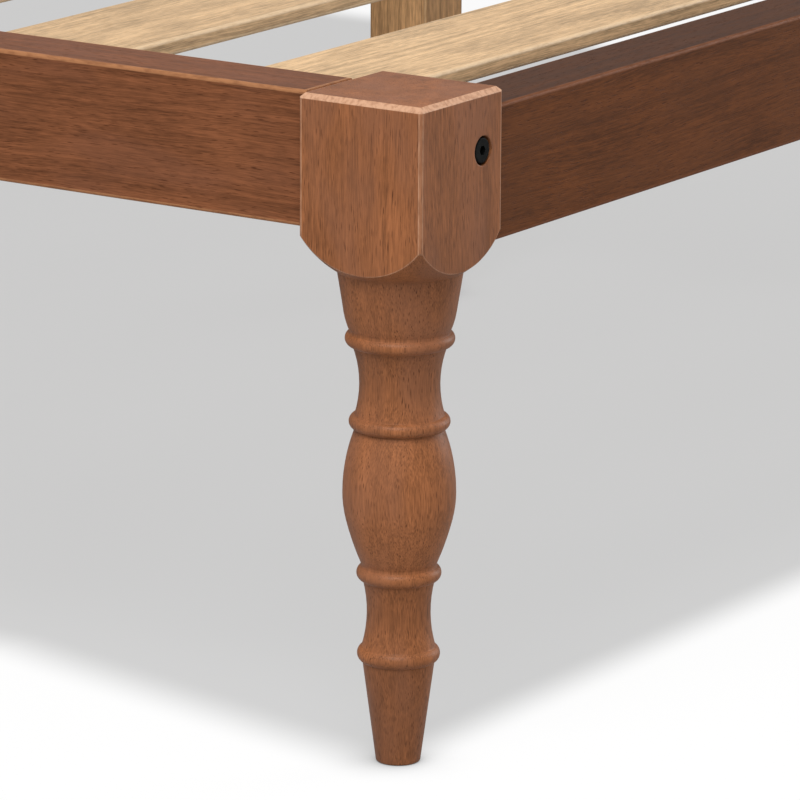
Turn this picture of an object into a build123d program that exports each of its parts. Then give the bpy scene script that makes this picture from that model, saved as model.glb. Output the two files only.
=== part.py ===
from build123d import *
import os

os.makedirs("parts", exist_ok=True)

# Low platform bed in millimetres. +X is across the bed, +Y runs from the foot to the head,
# +Z is up, and the origin lies on the floor under the middle of the bed.

# Mattress that the bed carries, and the room left on each side of it
mattress_width = 1524
mattress_length = 2032
mattress_clearance = 3

# Rails: one stock on all four sides, standing back from the outer faces of the posts
rail_thickness = 36
rail_height = 60.8
rail_set_back = 5.5
rail_edge_radius = 1.5
end_rail_drop = 9.8

# Square block at the top of each corner post
block_size = 64
block_height = 62.3
block_arris_radius = 1.5
block_top_chamfer = 2.2

# Turned leg: the height of each turned length, from the floor up
foot_taper_height = 46.4
ankle_bead_height = 7.1
lower_cove_height = 30.2
lower_bead_height = 6.7
vase_flank_height = 20.2
vase_lower_height = 32.3
vase_upper_height = 29.3
upper_bead_height = 6.3
upper_cove_height = 31.2
collar_bead_height = 6.2
neck_heel_height = 7.9
neck_height = 18.7
pommel_height = 18
land_height = 1.2

# Turned leg: its radii, from the floor up
foot_tip_radius = 9.9
foot_tip_rounding = 1
ankle_radius = 16.1
ankle_bead_radius = 18.5
lower_cove_bottom_radius = 16.4
lower_cove_radius = 14.2
lower_cove_top_radius = 16
lower_bead_radius = 18.9
vase_bottom_radius = 16.9
vase_flank_radius = 23.7
vase_radius = 25.2
vase_top_radius = 19.7
upper_bead_radius = 22.5
upper_cove_bottom_radius = 19.9
upper_cove_radius = 17.9
upper_cove_top_radius = 21
collar_bead_radius = 24.3
neck_bottom_radius = 22.6
neck_heel_radius = 24.9
neck_top_radius = 27.9
pommel_curve_radius = 46

# Slatted deck, level with the tops of the end rails
slat_count = 14
slat_width = 75
slat_thickness = 8
slat_edge_radius = 1.5
slat_end_gap = 3
slat_post_gap = 2

# Cleats that carry the slat ends, and the centre beam
cleat_width = 22
cleat_height = 17
beam_width = 40
beam_height = 45
beam_end_gap = 1
beam_edge_radius = 2

# Folded steel hangers that carry the beam on the end rails
hanger_steel = 2
hanger_side_gap = 0.5
hanger_reach = 40
hanger_flange = 20
hanger_cheek_height = 30
hanger_plate_height = 41
hanger_screw_inset = 9
hanger_corner_radius = 3

# Centre legs under the beam, each with a levelling foot
centre_leg_count = 3
centre_leg_size = 40
centre_leg_spacing = 520
centre_leg_edge_radius = 2
foot_pad_radius = 15
foot_pad_height = 4
foot_hex_across_flats = 17
foot_hex_height = 4
foot_extension = 10
foot_stem_radius = 4
foot_stem_seat = 5
foot_stem_spare = 8
foot_bore_depth = 45
thread_clearance = 0.05

# Threaded inserts in the beam and the centre legs, and the double-ended studs between them
insert_radius = 6
insert_length = 15
stud_length = 60
stud_radius = 4
stud_end_gap = 2

# Bolts through the posts into the side-rail cleats, with washers and barrel nuts
bolt_radius = 3
bolt_length = 90
bolt_head_radius = 5.8
bolt_head_height = 3.3
bolt_head_rounding = 0.8
bolt_hex_across_flats = 4
bolt_hex_depth = 2.1
bolt_recess = 0.3
bolt_hole_clearance = 0.5
bolt_end_gap = 2
counterbore_radius = 6.7
washer_radius = 6
washer_thickness = 1.6
nut_radius = 5
nut_length = 14
nut_distance = 22
nut_hole_clearance = 0.1
nut_slot_width = 1.6
nut_slot_depth = 1.5

# Dowels that locate the rails in the posts
dowel_radius = 4
dowel_length = 35
dowel_end_gap = 1
side_dowel_spacing = 34
end_dowel_spacing = 18
end_dowel_edge = 12

# Countersunk wood screws
screw_radius = 2
screw_head_radius = 4
slat_screw_length = 24
cleat_screw_length = 45
hanger_screw_length = 25

# Overall sizes and levels that follow from the driving dimensions
bed_width = mattress_width + 2 * (mattress_clearance + rail_thickness + rail_set_back)
bed_length = mattress_length + 2 * (mattress_clearance + rail_thickness + rail_set_back)

ankle_level = foot_taper_height
lower_cove_level = ankle_level + ankle_bead_height
lower_bead_level = lower_cove_level + lower_cove_height
lower_land_level = lower_bead_level + lower_bead_height
vase_level = lower_land_level + land_height
vase_flank_level = vase_level + vase_flank_height
belly_level = vase_level + vase_lower_height
upper_bead_level = belly_level + vase_upper_height
upper_cove_level = upper_bead_level + upper_bead_height
collar_level = upper_cove_level + upper_cove_height
upper_land_level = collar_level + collar_bead_height
neck_level = upper_land_level + land_height
neck_heel_level = neck_level + neck_heel_height
pommel_level = neck_heel_level + neck_height
block_level = pommel_level + pommel_height
bed_height = block_level + block_height

side_rail_length = bed_length - 2 * block_size
end_rail_length = bed_width - 2 * block_size
side_rail_level = bed_height - rail_height / 2
deck_level = bed_height - end_rail_drop
end_rail_level = deck_level - rail_height / 2
cleat_top = deck_level - slat_thickness
beam_bottom = cleat_top - beam_height
leg_bottom = foot_pad_height + foot_hex_height + foot_extension

rail_line_x = bed_width / 2 - rail_set_back - rail_thickness / 2
rail_line_y = bed_length / 2 - rail_set_back - rail_thickness / 2
side_rail_inside = rail_line_x - rail_thickness / 2
end_rail_inside = rail_line_y - rail_thickness / 2
post_inside_x = bed_width / 2 - block_size
post_inside_y = bed_length / 2 - block_size
cleat_line = side_rail_inside - cleat_width / 2
bolt_line = side_rail_inside - nut_length / 2
bolt_level = cleat_top - cleat_height / 2
hanger_back = end_rail_inside - hanger_steel
beam_end = hanger_back - beam_end_gap

slat_length = 2 * (side_rail_inside - slat_end_gap)
last_slat = post_inside_y - slat_post_gap - slat_width / 2
slat_pitch = 2 * last_slat / (slat_count - 1)
slat_places = [index * slat_pitch - last_slat for index in range(slat_count)]
side_dowel_levels = [side_rail_level - side_dowel_spacing / 2, side_rail_level + side_dowel_spacing / 2]
end_dowel_bottom = end_rail_level - rail_height / 2 + end_dowel_edge
end_dowel_levels = [end_dowel_bottom, end_dowel_bottom + end_dowel_spacing]
leg_places = [
    (index - (centre_leg_count - 1) / 2) * centre_leg_spacing for index in range(centre_leg_count)
]

corners = [(side, end) for end in (-1, 1) for side in (-1, 1)]
side_names = {-1: "left", 1: "right"}
end_names = {-1: "foot", 1: "head"}


def save(piece, name):
    """Label one finished piece and write it to its own file."""
    piece.part.label = name
    export_step(piece.part, f"parts/{name}.step")


# Corner posts

def bolt_plane(side, end, distance):
    """Plane across one bolt's line, at a distance inside the end face of the bed, facing out."""
    place = (side * bolt_line, end * (bed_length / 2 - distance), bolt_level)
    return Plane(origin=place, x_dir=(1, 0, 0), z_dir=(0, end, 0))


def side_dowel_planes(side, end, facing):
    """Planes on the joint of a side rail and a post, one for each dowel; facing is along Y."""
    return [
        Plane(origin=(side * rail_line_x, end * post_inside_y, level), x_dir=(1, 0, 0), z_dir=(0, facing, 0))
        for level in side_dowel_levels
    ]


def end_dowel_planes(side, end, facing):
    """Planes on the joint of an end rail and a post, one for each dowel; facing is along X."""
    return [
        Plane(origin=(side * post_inside_x, end * rail_line_y, level), x_dir=(0, 1, 0), z_dir=(facing, 0, 0))
        for level in end_dowel_levels
    ]


def corner_post(side, end):
    """Square block that turns through a rounded pommel into a leg of beads, coves and a vase."""
    axis_x = side * (bed_width - block_size) / 2
    axis_y = end * (bed_length - block_size) / 2
    corner_radius = block_size / 2 ** 0.5
    with BuildPart() as post:
        with BuildSketch(Plane((axis_x, axis_y, 0))):
            Rectangle(block_size, block_size)
        extrude(amount=bed_height)
        chamfer(post.faces().sort_by(Axis.Z)[-1].edges(), block_top_chamfer)
        fillet(post.edges().filter_by(Axis.Z), block_arris_radius)
        with BuildSketch(Plane((axis_x, axis_y, 0), x_dir=(1, 0, 0), z_dir=(0, -1, 0))):
            with BuildLine():
                Line((0, 0), (foot_tip_radius, 0))
                Line((foot_tip_radius, 0), (ankle_radius, ankle_level))
                ThreePointArc(
                    (ankle_radius, ankle_level),
                    (ankle_bead_radius, ankle_level + ankle_bead_height / 2),
                    (lower_cove_bottom_radius, lower_cove_level),
                )
                ThreePointArc(
                    (lower_cove_bottom_radius, lower_cove_level),
                    (lower_cove_radius, lower_cove_level + lower_cove_height / 2),
                    (lower_cove_top_radius, lower_bead_level),
                )
                ThreePointArc(
                    (lower_cove_top_radius, lower_bead_level),
                    (lower_bead_radius, lower_bead_level + lower_bead_height / 2),
                    (vase_bottom_radius, lower_land_level),
                )
                Line((vase_bottom_radius, lower_land_level), (vase_bottom_radius, vase_level))
                belly = TangentArc(
                    (vase_radius, belly_level), (vase_flank_radius, vase_flank_level), tangent=(0, -1)
                )
                TangentArc(belly @ 1, (vase_bottom_radius, vase_level), tangent=belly % 1)
                TangentArc((vase_radius, belly_level), (vase_top_radius, upper_bead_level), tangent=(0, 1))
                ThreePointArc(
                    (vase_top_radius, upper_bead_level),
                    (upper_bead_radius, upper_bead_level + upper_bead_height / 2),
                    (upper_cove_bottom_radius, upper_cove_level),
                )
                ThreePointArc(
                    (upper_cove_bottom_radius, upper_cove_level),
                    (upper_cove_radius, upper_cove_level + upper_cove_height / 2),
                    (upper_cove_top_radius, collar_level),
                )
                ThreePointArc(
                    (upper_cove_top_radius, collar_level),
                    (collar_bead_radius, collar_level + collar_bead_height / 2),
                    (neck_bottom_radius, upper_land_level),
                )
                Line((neck_bottom_radius, upper_land_level), (neck_bottom_radius, neck_level))
                neck = Line((neck_top_radius, pommel_level), (neck_heel_radius, neck_heel_level))
                TangentArc(neck @ 1, (neck_bottom_radius, neck_level), tangent=neck % 1)
                RadiusArc((neck_top_radius, pommel_level), (corner_radius, block_level), -pommel_curve_radius)
                Line((corner_radius, block_level), (corner_radius, bed_height))
                Line((corner_radius, bed_height), (0, bed_height))
                Line((0, bed_height), (0, 0))
            make_face()
        revolve(axis=Axis((axis_x, axis_y, 0), (0, 0, 1)), mode=Mode.INTERSECT)
        fillet(post.edges().sort_by(Axis.Z)[0], foot_tip_rounding)
        with Locations(bolt_plane(side, end, 0)):
            CounterBoreHole(
                radius=bolt_radius + bolt_hole_clearance,
                counter_bore_radius=counterbore_radius,
                counter_bore_depth=bolt_recess + bolt_head_height + washer_thickness,
                depth=block_size,
            )
        with Locations(*side_dowel_planes(side, end, -end)):
            Hole(radius=dowel_radius, depth=dowel_length / 2 + dowel_end_gap)
        with Locations(*end_dowel_planes(side, end, -side)):
            Hole(radius=dowel_radius, depth=dowel_length / 2 + dowel_end_gap)
    return post


for side, end in corners:
    save(corner_post(side, end), f"post_{end_names[end]}_{side_names[side]}")


# Side rails and the cleats fixed inside them

cleat_screw_places = slat_places[:-1:2]
cleat_screw_places = [place + slat_pitch / 2 for place in cleat_screw_places]


def cleat_screw_planes(side, distance):
    """Planes for one cleat's screws, at a distance from the bed's middle plane, facing inwards."""
    return [
        Plane(origin=(side * distance, place, bolt_level), x_dir=(0, 1, 0), z_dir=(-side, 0, 0))
        for place in cleat_screw_places
    ]


def side_rail(side):
    """Long rail with eased edges, drilled for its end dowels and the cleat's screws."""
    with BuildPart() as rail:
        with BuildSketch(Plane.XZ):
            with Locations((side * rail_line_x, side_rail_level)):
                Rectangle(rail_thickness, rail_height)
        extrude(amount=side_rail_length / 2, both=True)
        fillet(rail.edges().filter_by(Axis.Y), rail_edge_radius)
        with Locations(*side_dowel_planes(side, -1, -1), *side_dowel_planes(side, 1, 1)):
            Hole(radius=dowel_radius, depth=dowel_length / 2 + dowel_end_gap)
        with Locations(*cleat_screw_planes(side, side_rail_inside)):
            Hole(radius=screw_radius, depth=cleat_screw_length - cleat_width)
    return rail


def slat_cleat(side):
    """Square strip along a side rail, cross-drilled near its ends for the bolts and barrel nuts."""
    with BuildPart() as cleat:
        with BuildSketch(Plane.XZ):
            with Locations((side * cleat_line, bolt_level)):
                Rectangle(cleat_width, cleat_height)
        extrude(amount=side_rail_length / 2, both=True)
        with Locations(bolt_plane(side, -1, block_size), bolt_plane(side, 1, block_size)):
            Hole(
                radius=bolt_radius + bolt_hole_clearance,
                depth=bolt_recess + bolt_head_height + bolt_length + bolt_end_gap - block_size,
            )
        with Locations(*nut_planes(side)):
            Hole(radius=nut_radius + nut_hole_clearance, depth=cleat_width)
        with Locations(*cleat_screw_planes(side, side_rail_inside - cleat_width)):
            CounterSinkHole(
                radius=screw_radius,
                counter_sink_radius=screw_head_radius,
                depth=cleat_width,
                counter_sink_angle=90,
            )
        with Locations(*[(side * cleat_line, place, cleat_top) for place in slat_places]):
            Hole(radius=screw_radius, depth=slat_screw_length - slat_thickness)
    return cleat


def nut_planes(side):
    """Planes on the inner face of one cleat for its two barrel nuts, facing the bed's middle."""
    inner_face = side * (side_rail_inside - cleat_width)
    return [
        Plane(origin=(inner_face, end * (post_inside_y - nut_distance), bolt_level), z_dir=(-side, 0, 0))
        for end in (-1, 1)
    ]


for side, side_name in side_names.items():
    save(side_rail(side), f"side_rail_{side_name}")
    save(slat_cleat(side), f"slat_cleat_{side_name}")


# End rails between the posts

hanger_width = beam_width + 2 * (hanger_side_gap + hanger_steel)
hanger_screw_x = hanger_width / 2 + hanger_flange - hanger_screw_inset
hanger_bottom = beam_bottom - hanger_steel
hanger_screw_levels = [
    hanger_bottom + hanger_screw_inset,
    hanger_bottom + hanger_plate_height - hanger_screw_inset,
]


def hanger_screw_planes(end, distance):
    """Planes for one hanger's screws, at a distance from the bed's middle, facing inwards."""
    return [
        Plane(origin=(place, end * distance, level), x_dir=(1, 0, 0), z_dir=(0, -end, 0))
        for place in (-hanger_screw_x, hanger_screw_x)
        for level in hanger_screw_levels
    ]


def end_rail(end):
    """Rail across one end of the bed, lower than the side rails, drilled for dowels and a hanger."""
    with BuildPart() as rail:
        with BuildSketch(Plane.YZ):
            with Locations((end * rail_line_y, end_rail_level)):
                Rectangle(rail_thickness, rail_height)
        extrude(amount=end_rail_length / 2, both=True)
        fillet(rail.edges().filter_by(Axis.X), rail_edge_radius)
        with Locations(*end_dowel_planes(-1, end, -1), *end_dowel_planes(1, end, 1)):
            Hole(radius=dowel_radius, depth=dowel_length / 2 + dowel_end_gap)
        with Locations(*hanger_screw_planes(end, end_rail_inside)):
            Hole(radius=screw_radius, depth=hanger_screw_length - hanger_steel)
    return rail


def beam_hanger(end):
    """Steel stirrup: a plate on the end rail, with a shelf and two cheeks round the beam's end."""
    with BuildPart() as hanger:
        with BuildSketch(Plane.XZ.offset(-end * hanger_back)):
            with Locations((0, hanger_bottom + hanger_plate_height / 2)):
                RectangleRounded(hanger_width + 2 * hanger_flange, hanger_plate_height, hanger_corner_radius)
        extrude(amount=-end * hanger_steel)
        with BuildSketch(Plane.XZ.offset(-end * hanger_back)):
            with Locations((0, hanger_bottom)):
                Rectangle(hanger_width, hanger_cheek_height, align=(Align.CENTER, Align.MIN))
            with Locations((0, beam_bottom)):
                Rectangle(
                    hanger_width - 2 * hanger_steel,
                    hanger_cheek_height,
                    align=(Align.CENTER, Align.MIN),
                    mode=Mode.SUBTRACT,
                )
        extrude(amount=end * hanger_reach)
        with Locations(*hanger_screw_planes(end, hanger_back)):
            CounterSinkHole(
                radius=screw_radius,
                counter_sink_radius=screw_head_radius,
                depth=hanger_steel,
                counter_sink_angle=90,
            )
    return hanger


for end, end_name in end_names.items():
    save(end_rail(end), f"{end_name}_rail")
    save(beam_hanger(end), f"beam_hanger_{end_name}")


# Centre beam, its legs and their levelling feet

with BuildPart() as centre_beam:
    with BuildSketch(Plane.XZ):
        with Locations((0, beam_bottom)):
            Rectangle(beam_width, beam_height, align=(Align.CENTER, Align.MIN))
    extrude(amount=beam_end, both=True)
    fillet(centre_beam.edges().filter_by(Axis.Y), beam_edge_radius)
    with Locations(*[Plane((0, place, beam_bottom), z_dir=(0, 0, -1)) for place in leg_places]):
        CounterBoreHole(
            radius=stud_radius + bolt_hole_clearance,
            counter_bore_radius=insert_radius,
            counter_bore_depth=insert_length,
            depth=stud_length / 2 + stud_end_gap,
        )
save(centre_beam, "centre_beam")


def centre_leg(place):
    """Square leg under the beam, bored at the top for a stud and below for the levelling foot."""
    with BuildPart() as leg:
        with BuildSketch(Plane((0, place, leg_bottom))):
            RectangleRounded(centre_leg_size, centre_leg_size, centre_leg_edge_radius)
        extrude(amount=beam_bottom - leg_bottom)
        chamfer(leg.faces().sort_by(Axis.Z)[0].edges(), centre_leg_edge_radius / 2)
        with Locations((0, place, beam_bottom)):
            Hole(radius=stud_radius, depth=stud_length / 2)
        with Locations(Plane((0, place, leg_bottom), z_dir=(0, 0, -1))):
            CounterBoreHole(
                radius=foot_stem_radius + bolt_hole_clearance,
                counter_bore_radius=insert_radius,
                counter_bore_depth=insert_length,
                depth=foot_bore_depth,
            )
    return leg


def foot_pad(place):
    """Nylon foot: a round pad with a rounded rim and a hexagon to turn it by."""
    with BuildPart() as pad:
        with BuildSketch(Plane((0, place, 0))):
            Circle(foot_pad_radius)
        extrude(amount=foot_pad_height)
        fillet(pad.edges().group_by(Axis.Z)[-1], foot_pad_height / 2)
        with BuildSketch(Plane((0, place, foot_pad_height))):
            RegularPolygon(foot_hex_across_flats / 2, 6, major_radius=False)
        extrude(amount=foot_hex_height)
        with Locations((0, place, foot_pad_height + foot_hex_height)):
            Hole(radius=foot_stem_radius, depth=foot_stem_seat)
    return pad


def foot_stem(place):
    """Steel stem moulded into the pad, long enough to pass the insert in the leg."""
    stem_bottom = foot_pad_height + foot_hex_height - foot_stem_seat
    with BuildPart() as stem:
        with BuildSketch(Plane((0, place, stem_bottom))):
            Circle(foot_stem_radius)
        extrude(amount=leg_bottom + insert_length + foot_stem_spare - stem_bottom)
        chamfer(stem.edges().group_by(Axis.Z)[-1], foot_stem_radius / 6)
    return stem


for number, place in enumerate(leg_places, start=1):
    save(centre_leg(place), f"centre_leg_{number}")
    save(foot_pad(place), f"foot_pad_{number}")
    save(foot_stem(place), f"foot_stem_{number}")


# Slats

def slat(place):
    """Flat slat with eased long edges, screwed down at both ends."""
    with BuildPart() as board:
        with BuildSketch(Plane((0, place, cleat_top))):
            Rectangle(slat_length, slat_width)
        extrude(amount=slat_thickness)
        fillet(board.edges().filter_by(Axis.X), slat_edge_radius)
        with Locations((-cleat_line, place, deck_level), (cleat_line, place, deck_level)):
            CounterSinkHole(
                radius=screw_radius,
                counter_sink_radius=screw_head_radius,
                depth=slat_thickness,
                counter_sink_angle=90,
            )
    return board


for number, place in enumerate(slat_places, start=1):
    save(slat(place), f"slat_{number:02d}")


# Fasteners: each kind is one group of separate solids

def wood_screw(length):
    """Countersunk screw with its head's flat top at the origin, pointing down."""
    with BuildPart() as screw:
        with BuildSketch(Plane.XZ):
            with BuildLine():
                Polyline(
                    (0, 0),
                    (screw_head_radius, 0),
                    (screw_radius, screw_radius - screw_head_radius),
                    (screw_radius, -length),
                    (0, -length),
                    close=True,
                )
            make_face()
        revolve(axis=Axis.Z)
    return screw.part


def dowel():
    """Beech dowel, centred on the origin."""
    with BuildPart() as pin:
        Cylinder(radius=dowel_radius, height=dowel_length)
    return pin.part


def side_rail_bolt():
    """Button-head bolt with a hexagon socket, the underside of its head at the origin."""
    with BuildPart() as bolt:
        Cylinder(bolt_head_radius, bolt_head_height, align=(Align.CENTER, Align.CENTER, Align.MIN))
        fillet(bolt.edges().group_by(Axis.Z)[-1], bolt_head_rounding)
        Cylinder(bolt_radius, bolt_length, align=(Align.CENTER, Align.CENTER, Align.MAX))
        with BuildSketch(Plane.XY.offset(bolt_head_height)):
            RegularPolygon(bolt_hex_across_flats / 2, 6, major_radius=False)
        extrude(amount=-bolt_hex_depth, mode=Mode.SUBTRACT)
    return bolt.part


def barrel_nut():
    """Cross dowel nut: its axis along Z, a cross hole along Y and a screwdriver slot in one end."""
    with BuildPart() as nut:
        Cylinder(radius=nut_radius, height=nut_length)
        with Locations(Plane((0, nut_radius, 0), x_dir=(1, 0, 0), z_dir=(0, 1, 0))):
            Hole(radius=bolt_radius + thread_clearance, depth=2 * nut_radius)
        with BuildSketch(Plane.XY.offset(nut_length / 2)):
            Rectangle(nut_slot_width, 2 * nut_radius)
        extrude(amount=-nut_slot_depth, mode=Mode.SUBTRACT)
    return nut.part


def threaded_insert():
    """Steel insert, its open face at the origin and its body above."""
    with BuildPart() as insert:
        Cylinder(radius=insert_radius, height=insert_length, align=(Align.CENTER, Align.CENTER, Align.MIN))
        with Locations((0, 0, insert_length)):
            Hole(radius=foot_stem_radius + thread_clearance, depth=insert_length)
    return insert.part


one_bolt = side_rail_bolt()
with BuildPart() as side_rail_bolts:
    with Locations(*[bolt_plane(side, end, bolt_recess + bolt_head_height) for side, end in corners]):
        add(one_bolt)
save(side_rail_bolts, "side_rail_bolts")

with BuildPart() as side_rail_washers:
    with Locations(*[bolt_plane(side, end, bolt_recess + bolt_head_height) for side, end in corners]):
        Cylinder(washer_radius, washer_thickness, align=(Align.CENTER, Align.CENTER, Align.MAX))
        Cylinder(
            bolt_radius + bolt_hole_clearance,
            washer_thickness,
            align=(Align.CENTER, Align.CENTER, Align.MAX),
            mode=Mode.SUBTRACT,
        )
save(side_rail_washers, "side_rail_washers")

one_nut = barrel_nut()
with BuildPart() as barrel_nuts:
    for side, end in corners:
        nut_place = (side * bolt_line, end * (post_inside_y - nut_distance), bolt_level)
        with Locations(Plane(origin=nut_place, x_dir=(0, 0, 1), z_dir=(-side, 0, 0))):
            add(one_nut)
save(barrel_nuts, "barrel_nuts")

one_dowel = dowel()
with BuildPart() as side_rail_dowels:
    with Locations(*[plane for side, end in corners for plane in side_dowel_planes(side, end, end)]):
        add(one_dowel)
save(side_rail_dowels, "side_rail_dowels")

with BuildPart() as end_rail_dowels:
    with Locations(*[plane for side, end in corners for plane in end_dowel_planes(side, end, side)]):
        add(one_dowel)
save(end_rail_dowels, "end_rail_dowels")

one_slat_screw = wood_screw(slat_screw_length)
with BuildPart() as slat_screws:
    with Locations(*[(side * cleat_line, place, deck_level) for place in slat_places for side in (-1, 1)]):
        add(one_slat_screw)
save(slat_screws, "slat_screws")

one_cleat_screw = wood_screw(cleat_screw_length)
with BuildPart() as cleat_screws:
    for side in (-1, 1):
        with Locations(*cleat_screw_planes(side, side_rail_inside - cleat_width)):
            add(one_cleat_screw)
save(cleat_screws, "cleat_screws")

one_hanger_screw = wood_screw(hanger_screw_length)
with BuildPart() as hanger_screws:
    for end in (-1, 1):
        with Locations(*hanger_screw_planes(end, hanger_back)):
            add(one_hanger_screw)
save(hanger_screws, "hanger_screws")

one_insert = threaded_insert()
with BuildPart() as threaded_inserts:
    with Locations(*[(0, place, level) for place in leg_places for level in (leg_bottom, beam_bottom)]):
        add(one_insert)
save(threaded_inserts, "threaded_inserts")

with BuildPart() as leg_studs:
    with Locations(*[(0, place, beam_bottom) for place in leg_places]):
        Cylinder(radius=stud_radius, height=stud_length)
save(leg_studs, "leg_studs")
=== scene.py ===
import math

import bpy
import numpy as np
from mathutils import Euler, Matrix, Vector


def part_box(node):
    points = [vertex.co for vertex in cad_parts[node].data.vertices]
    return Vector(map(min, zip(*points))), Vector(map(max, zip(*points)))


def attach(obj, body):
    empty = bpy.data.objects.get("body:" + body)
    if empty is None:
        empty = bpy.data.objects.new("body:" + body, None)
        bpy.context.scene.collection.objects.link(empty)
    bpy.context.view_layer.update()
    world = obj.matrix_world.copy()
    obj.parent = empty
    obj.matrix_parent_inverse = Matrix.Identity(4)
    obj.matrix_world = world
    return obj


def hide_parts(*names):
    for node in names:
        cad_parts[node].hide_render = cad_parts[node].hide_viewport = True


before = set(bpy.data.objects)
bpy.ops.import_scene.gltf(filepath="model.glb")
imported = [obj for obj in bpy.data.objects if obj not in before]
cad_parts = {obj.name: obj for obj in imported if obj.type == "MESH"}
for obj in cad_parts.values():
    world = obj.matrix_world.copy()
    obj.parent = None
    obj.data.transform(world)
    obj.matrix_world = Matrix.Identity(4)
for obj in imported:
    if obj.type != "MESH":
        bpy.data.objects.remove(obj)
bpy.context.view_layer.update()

# Corner posts. Each is one length of hardwood, turned below and left square above, with a
# chamfered top. It is stained brown and sprayed with satin lacquer, and the sanded arrises
# let the paler wood show through. Their paler lines are partly this wear and partly painted
# highlight.

POSTS = ["post_foot_left", "post_foot_right", "post_head_left", "post_head_right"]
MILLIMETRES = 1000
POST_BROWN = (0.300, 0.110, 0.042)
PORE_BROWN = (0.070, 0.021, 0.008)
# Paler brown of the arrises and chamfer: partly sanded wear, partly painted highlight
SANDED_AND_HIGHLIGHT_BROWN = (0.600, 0.345, 0.215)
POST_CHAMFER = 2.2
POST_FILLING = 0.22
POST_ROSE = 0.5
LACQUER_SHINE = 0.15
POST_HEART = (58, -74)
NEXT_HEART = (9, 13)

# The paler lines, partly wear and partly painted highlight, lie a little within the 1.5 mm
# rounding of the arrises, and the curved edges below the block get them between two heights.
POST_ARRIS = 1.35
CREASE_HEIGHTS = (227, 245)

# Heights in millimetres, and the share of the post's brown kept there, partly by the stain and
# partly as painted shade. The proud turnings were sanded paler, and the coves and the foot stayed
# darker. The darker neck and pommel under the block, and part of the darkness of the coves and the
# foot, are painted shade.
STAIN_AND_SHADE_BY_HEIGHT = [
    (0, 0.76),
    (42, 0.78),
    (50, 0.92),
    (70, 0.78),
    (88, 0.96),
    (104, 1.00),
    (142, 1.00),
    (155, 0.95),
    (174, 0.80),
    (196, 0.93),
    (216, 0.87),
    (240, 0.86),
    (247, 0.90),
]

# Spots of the figure: millimetres across the grain and along it, and the levels of detail
WANDER_SPOTS = (30, 230, 2)
FIBRE_SPOTS = (0.38, 13, 3)
STREAK_SPOTS = (1.5, 40, 2)
PATCH_SPOTS = (17, 44, 2)
MOTTLE_SPOTS = (1.8, 5.5, 2)
CLOUD_SPOTS = (7, 16, 3)
ROSE_SPOTS = (24, 60, 1)

# Growth bands, how far they wander in millimetres, and how they fade out on end grain
BAND_WANDER = 15
BANDS_PER_MILLIMETRE = 0.20
BAND_DETAIL = {"Scale": 1, "Detail": 4, "Roughness": 0.66}
END_GRAIN_FADE = (0.60, 0.97, 1.0, 0.10)

# Pores: millimetres across the grain and along it, and the share of the cells that hold one
SHORT_PORES = (0.66, 7.5, 0.65)
LONG_PORES = (0.58, 15, 0.50)
PORE_CORE = (0.14, 0.32)
PORE_SOFTNESS = 0.05
FAINTEST_PORE = 0.35
PORES_BY_PATCH = (0.30, 0.62, 0.55, 1.0)

# What each part of the figure adds to the tone, and the share of the brown at its two ends
BASE_TONE = 0.06
CLOUD_TONE = 0.7
FIBRE_TONE = 0.95
STREAK_TONE = 0.24
PATCH_TONE = 0.40
MOTTLE_TONE = 0.28
DARKEST_TONE = (0.28, 0.60)
MIDDLE_TONE = 0.52
PALEST_TONE = (0.78, 1.42)
ROSE_FADE = (0.42, 0.62)
ROSE_SHARES = (0.94, 1.06, 1.45)

# Paler lines along the arrises, partly wear and partly painted highlight. Their fades across a
# line, a rounding and the chamfer's two ends are in millimetres, and the mottle thins them.
WORN_AND_HIGHLIGHT_LINE = (0.36, 0.12)
LEAST_LINE_SHARE = 0.6
ARRIS_SOFTNESS = 0.1
CHAMFER_END = (0.22, 0.06)
CHAMFER_FOOT = (0.3, 0.1)
WEAR_AND_HIGHLIGHT_BY_MOTTLE = (0.30, 0.62, 0.50, 0.95)

# Paler line along a crease, partly wear and partly painted highlight, which shows where the eased
# normal leaves the true one. The softness of its two ends is in metres.
CREASE_LEVEL = (0.998, 0.96)
CREASE_SHARE = 0.7
CREASE_SOFTNESS = 0.001

# The lacquer's roughness, and the relief of the grain that shows through it
EASED_ARRIS = 0.0008
EASED_SAMPLES = 6
LEAST_ROUGHNESS = 0.36
FIBRE_ROUGHNESS = 0.14
PORE_ROUGHNESS = 0.25
FIBRE_RELIEF = 0.55
PORE_RELIEF = -0.9
GRAIN_RELIEF = {"Strength": 0.40, "Distance": 0.00014}

# The turn that brings each grain direction onto the pattern's third axis
GRAIN_TURNS = {
    "X": Euler((0, math.radians(-90), 0)),
    "Y": Euler((math.radians(90), 0, 0)),
    "Z": Euler((0, 0, 0)),
}


def wood_node(tree, kind, inputs=None, **settings):
    """Adds one shader node: its settings, then its inputs, each a value or another node's output."""
    node = tree.nodes.new(kind)
    for setting, value in settings.items():
        setattr(node, setting, value)
    for socket, value in (inputs or {}).items():
        if isinstance(value, bpy.types.NodeSocket):
            tree.links.new(value, node.inputs[socket])
        else:
            node.inputs[socket].default_value = value
    return node


def wood_sum(tree, operation, *values):
    """One arithmetic step on up to three numbers."""
    return wood_node(tree, "ShaderNodeMath", dict(enumerate(values)), operation=operation).outputs[0]


def wood_vector(tree, operation, *values):
    """One arithmetic step on up to three vectors."""
    inputs = dict(enumerate(values))
    return wood_node(tree, "ShaderNodeVectorMath", inputs, operation=operation)


def wood_fade(tree, value, start, end, low=0.0, high=1.0):
    """Value carried smoothly from low at start to high at end, and held beyond them."""
    inputs = {"Value": value, "From Min": start, "From Max": end, "To Min": low, "To Max": high}
    return wood_node(tree, "ShaderNodeMapRange", inputs, interpolation_type="SMOOTHSTEP").outputs[0]


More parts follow.
